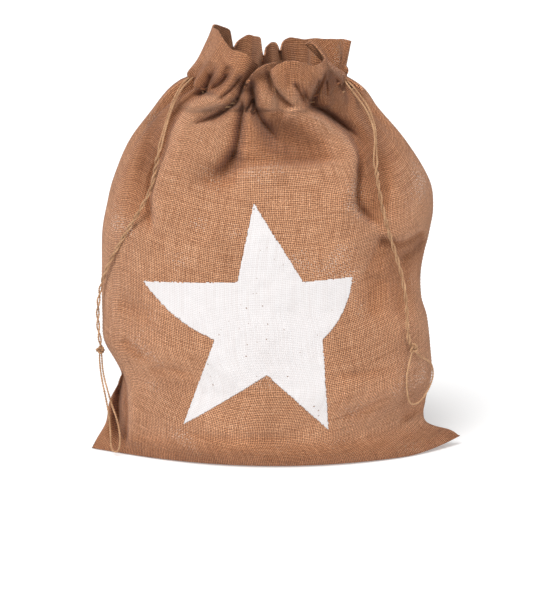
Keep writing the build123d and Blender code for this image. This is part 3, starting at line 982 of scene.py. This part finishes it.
def stitching(grid, flat_heights, channel, material):
    """Two rows of stitches round the channel, one down each side seam and one along the bottom."""
    normals = grid_normals(grid)
    lifted = grid + 0.0002 * normals
    runs = {}
    clear = 26                    # columns left open at each side, where the cords come out
    for word, shift in (("lower", -CHANNEL_HALF), ("upper", CHANNEL_HALF)):
        ring = lifted[row_at(flat_heights, channel + shift)]
        runs[f"channel_thread_{word}"] = [ring[clear:HALF - clear], ring[HALF + clear:COLUMNS - clear]]
    low, high = row_at(flat_heights, 0.115), row_at(flat_heights, channel - 0.030)
    runs["left_side_seam_thread"] = [lifted[low:high, 4]]
    runs["right_side_seam_thread"] = [lifted[low:high, HALF - 4]]
    runs["bottom_seam_thread"] = [lifted[row_at(flat_heights, 0.108), 6:HALF - 6]]
    for node, lines in runs.items():
        obj = stitch_piece(f"{node}_stitches", lines)
        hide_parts(node)
        give(obj, material, "sack")


def neck_inside(grid, rows, depth):
    """The rows of cloth round the neck, drawn inside its pleats by depth at each row and column."""
    middle = np.array([NECK_MIDDLE, 0])
    out = grid[rows, :, :2] - middle
    reach = np.hypot(out[:, :, 0], out[:, :, 1])
    least = np.min([np.roll(reach.min(axis=0), k) for k in range(-10, 11)], axis=0)
    least = sum(np.roll(least, k) for k in range(-6, 7)) / 13
    kept = np.where(np.isnan(depth), reach - CLOTH * 1.7, least[None, :] - depth)
    ring = grid[rows].copy()
    ring[:, :, :2] = middle + out * (kept / reach)[:, :, None]
    return ring


def channel_lining(grid, shade, flat_heights, channel, material):
    """The hem's inner layer, which covers the drawcords from the inside of the neck."""
    half = CHANNEL_HALF + 0.001
    rows = slice(row_at(flat_heights, channel - half), row_at(flat_heights, channel + half) + 1)
    away = np.abs(flat_heights[rows] - channel)[:, None] / half + np.zeros((1, COLUMNS))
    covered = neck_inside(grid, rows, 0.0080 + 0 * away)
    attached = neck_inside(grid, rows, np.nan + away)
    blend = smooth_step((away - 0.65) / 0.35)[:, :, None]
    band = covered * (1 - blend) + attached * blend
    band = np.concatenate([band, band[:, :1]], axis=1)
    flat_x = np.broadcast_to(np.linspace(0, 2 * FLAT_WIDTH, COLUMNS + 1)[None, :], band.shape[:2])
    flat_z = np.broadcast_to(flat_heights[rows][:, None], band.shape[:2])
    closed_shade = np.concatenate([shade[rows], shade[rows][:, :1]], axis=1)
    obj = sheet_mesh("channel_lining", band, flat_x, flat_z, closed_shade)
    thicken(obj, CLOTH)
    give(obj, material, "sack")


def channel_cords(grid, flat_heights, channel, material):
    """The part of each drawcord that runs round inside the channel, under the hem's inner layer."""
    for side, start, shift in (("left", 0, 0.003), ("right", HALF, -0.003)):
        row = row_at(flat_heights, channel + shift)
        ring = neck_inside(grid, slice(row, row + 1), np.full((1, COLUMNS), 0.0045))[0]
        ring = np.roll(ring, -start, axis=0)
        cord = twisted_twine(f"{side}_channel_twine", evenly(ring[5:-5], 0.0012), TWINE * 0.9, 300 + start)
        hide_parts(f"{side}_cord_in_channel")
        give(cord, material, "sack")


# -------- studio
def make_floor():
    bpy.ops.mesh.primitive_plane_add(size=400, location=(0, 0, 0))
    floor = bpy.context.object
    floor.name = "floor"
    material, _, shader = new_material("floor")
    shader.inputs["Base Color"].default_value = (0.75, 0.75, 0.75, 1)
    shader.inputs["Roughness"].default_value = 0.95
    shader.inputs["Specular IOR Level"].default_value = 0.0
    shader.inputs["Emission Color"].default_value = (1, 1, 1, 1)
    shader.inputs["Emission Strength"].default_value = 0.30
    floor.data.materials.append(material)


def soft_sun(name, towards, spread, strength):
    """A broad light from far off, so it reaches the whole floor evenly."""
    data = bpy.data.lights.new(name, "SUN")
    data.energy = strength
    data.angle = math.radians(spread)
    light = link(bpy.data.objects.new(name, data))
    flat = math.hypot(towards[0], towards[1])
    heading = math.atan2(towards[1], towards[0]) - math.pi / 2
    light.rotation_euler = (math.atan2(flat, -towards[2]), 0, heading)


def make_lights():
    soft_sun("key", (0.42, 0.75, -1.20), 34, 3.05)
    soft_sun("fill", (-0.8, 0.8, -0.5), 50, 0.45)
    world = bpy.data.worlds.new("studio")
    world.use_nodes = True
    background = world.node_tree.nodes["Background"]
    background.inputs[0].default_value = (1, 1, 1, 1)
    background.inputs[1].default_value = 0.40
    bpy.context.scene.world = world
    bpy.context.scene.view_settings.view_transform = "Standard"


# -------- the build
def give(obj, material, body):
    obj.data.materials.clear()
    obj.data.materials.append(material)
    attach(obj, body)


def build():
    materials = {"hessian": hessian_material(), "star": star_material(),
                 "twine": twine_material(), "thread": thread_material()}
    drawcord("left", (LEFT_REAR, LEFT_FRONT), LEFT_LOOP, materials,
             meet=0.25, knot_size=(0.0155, 0.014, 0.0145), tilt=0.4, seed=100)
    drawcord("right", (RIGHT_REAR, RIGHT_FRONT), RIGHT_LOOP, materials,
             meet=0.30, knot_size=(0.019, 0.014, 0.015), tilt=1.2, seed=200)
    rows, flat_heights, channel = cloth_rows()
    grid, shade = crumple(rows, flat_heights)
    shares = layer_shares(flat_heights)
    front = panel_sheet("front_cloth", grid, shade, shares, 0)
    back = panel_sheet("back_cloth", grid, shade, shares, HALF)
    star = star_sheet(grid, shade)
    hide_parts("front_panel")
    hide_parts("back_panel")
    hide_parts("star_print")
    give(front, materials["hessian"], "sack")
    give(back, materials["hessian"], "sack")
    give(star, materials["star"], "sack")
    stitching(grid, flat_heights, channel, materials["thread"])
    channel_cords(grid, flat_heights, channel, materials["twine"])
    channel_lining(grid, shade, flat_heights, channel, materials["hessian"])


make_camera()
build()
make_floor()
make_lights()
